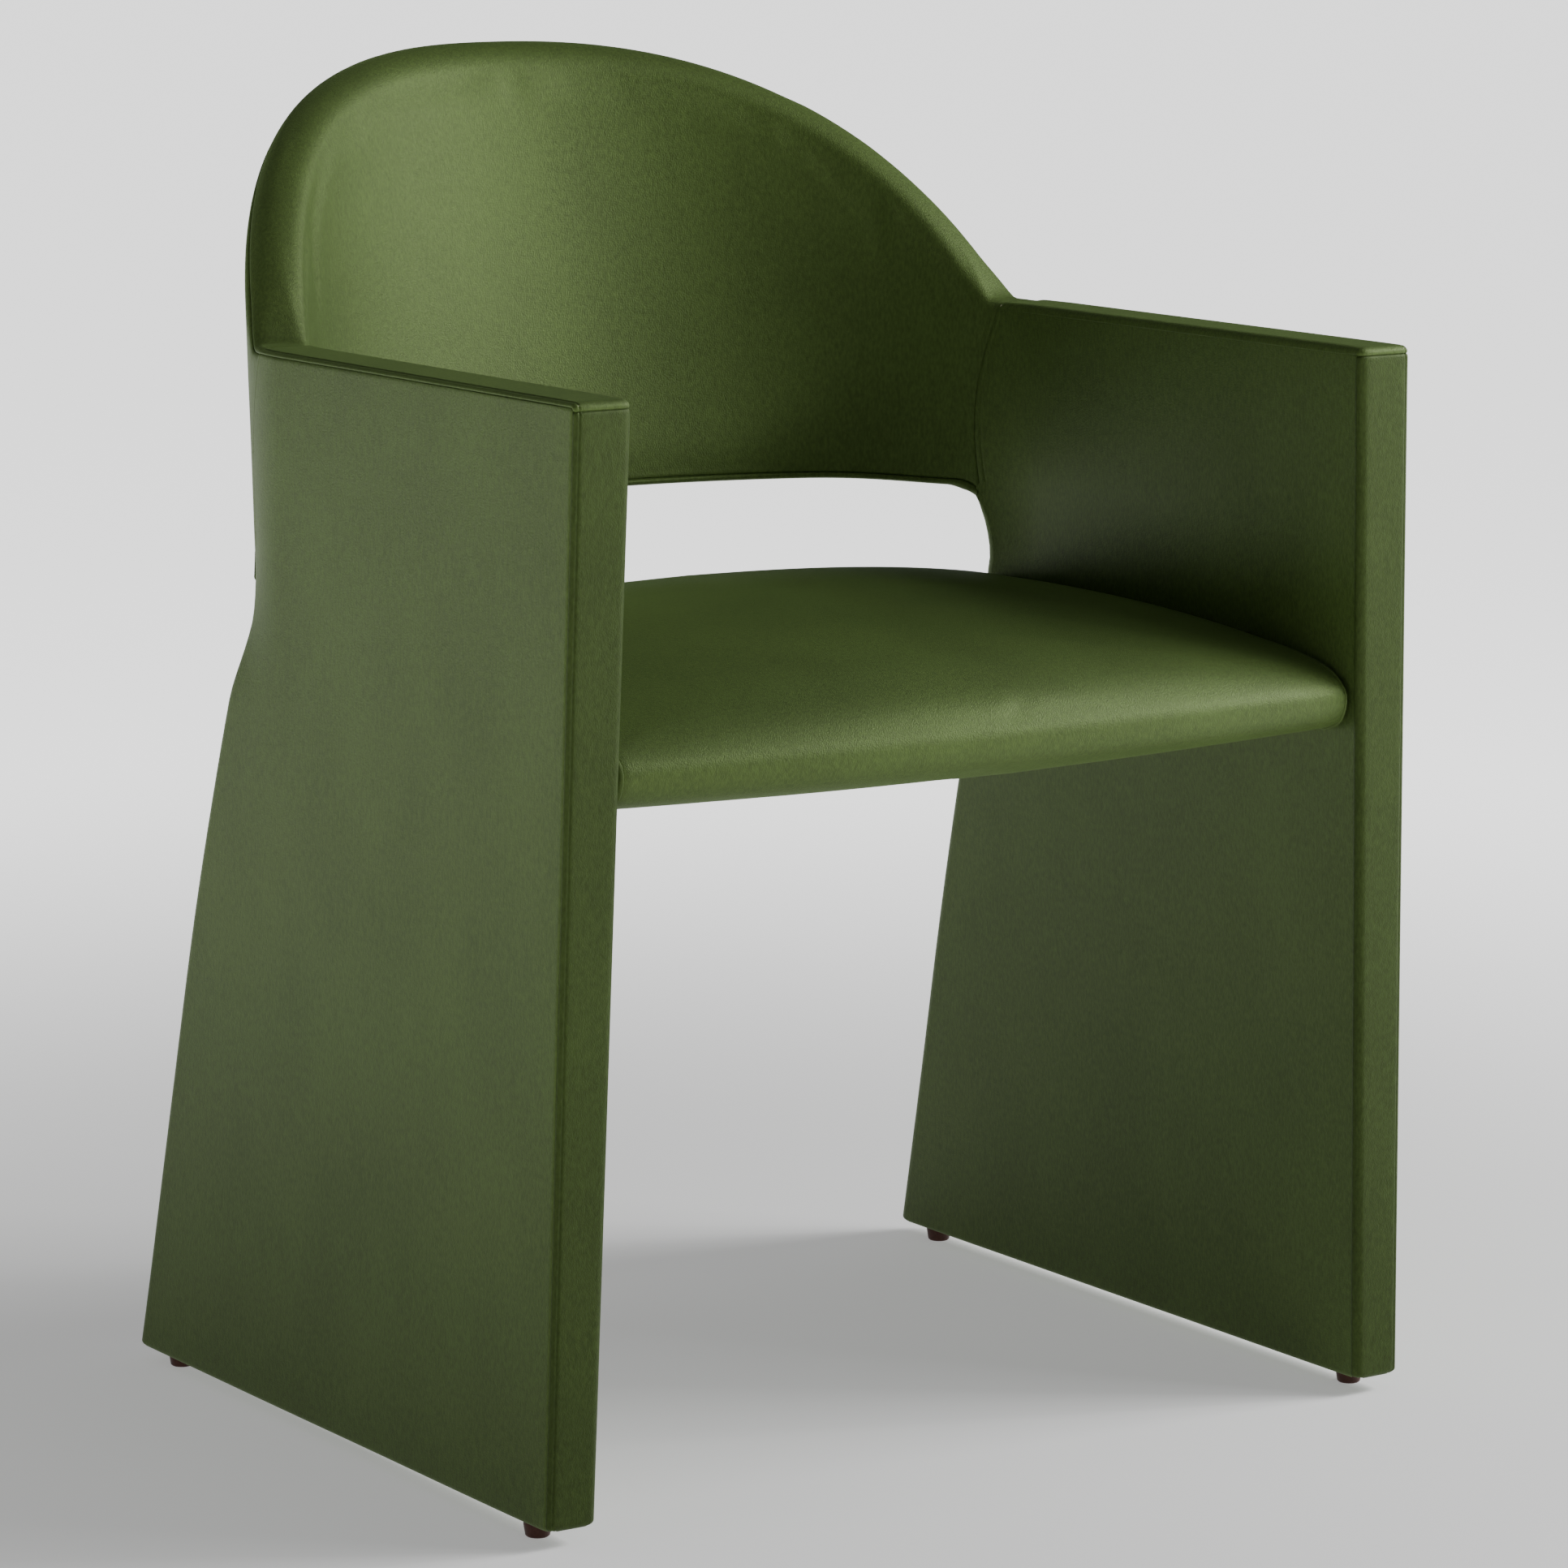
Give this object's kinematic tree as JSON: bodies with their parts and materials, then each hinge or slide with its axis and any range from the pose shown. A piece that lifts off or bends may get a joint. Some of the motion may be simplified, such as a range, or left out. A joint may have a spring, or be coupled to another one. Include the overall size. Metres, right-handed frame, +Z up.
{
  "type": "dining chair",
  "caption": "Upholstered dining armchair with slab sides that are leg and arm in one, a curved leaning back and a crowned seat with an open gap between them.",
  "frame": {"origin": "on the floor under the middle of the chair's bounding box", "axes": "+Z up, +Y towards the rear of the chair, +X towards the right-hand slab as seen from the front of the chair facing the back"},
  "size_m": [0.602, 0.5794, 0.796],
  "materials": {
    "velvet": "deep green velvet with a short dense pile and a soft sheen",
    "foam": "cut polyurethane foam",
    "hardwood": "planed, unfinished beech",
    "plywood": "sanded birch plywood",
    "zinc_steel": "zinc-plated steel",
    "webbing": "elastic upholstery webbing",
    "dust_cloth": "black non-woven dust cloth",
    "glide_plastic": "moulded dark brown plastic, satin"
  },
  "bodies": {
    "root": {"back_bottom_band": "velvet", "back_inner_cover": "velvet", "back_inner_pad": "foam", "back_outer_cover": "velvet", "back_outer_pad": "foam", "back_plate_pins": "zinc_steel", "back_shell": "plywood", "glide_screws": "zinc_steel", "left_arm_band": "velvet", "left_arm_pad": "foam", "left_arm_rail": "hardwood", "left_back_plate": "zinc_steel", "left_foot_rail": "hardwood", "left_foot_strip": "dust_cloth", "left_front_band": "velvet", "left_front_glide": "glide_plastic", "left_front_post": "hardwood", "left_inner_cover": "velvet", "left_inner_pad": "foam", "left_inner_skin": "plywood", "left_outer_cover": "velvet", "left_outer_pad": "foam", "left_outer_skin": "plywood", "left_rear_glide": "glide_plastic", "left_rear_post": "hardwood", "left_seat_rail": "hardwood", "right_arm_band": "velvet", "right_arm_pad": "foam", "right_arm_rail": "hardwood", "right_back_plate": "zinc_steel", "right_foot_rail": "hardwood", "right_foot_strip": "dust_cloth", "right_front_band": "velvet", "right_front_glide": "glide_plastic", "right_front_post": "hardwood", "right_inner_cover": "velvet", "right_inner_pad": "foam", "right_inner_skin": "plywood", "right_outer_cover": "velvet", "right_outer_pad": "foam", "right_outer_skin": "plywood", "right_rear_glide": "glide_plastic", "right_rear_post": "hardwood", "right_seat_rail": "hardwood", "seat_bolts": "zinc_steel", "seat_corner_blocks": "hardwood", "seat_cover": "velvet", "seat_dust_cover": "dust_cloth", "seat_foam": "foam", "seat_front_rail": "hardwood", "seat_left_rail": "hardwood", "seat_rear_rail": "hardwood", "seat_right_rail": "hardwood", "seat_tee_nuts": "zinc_steel", "seat_washers": "zinc_steel", "seat_webbing": "webbing"}
  },
  "joints": []
}
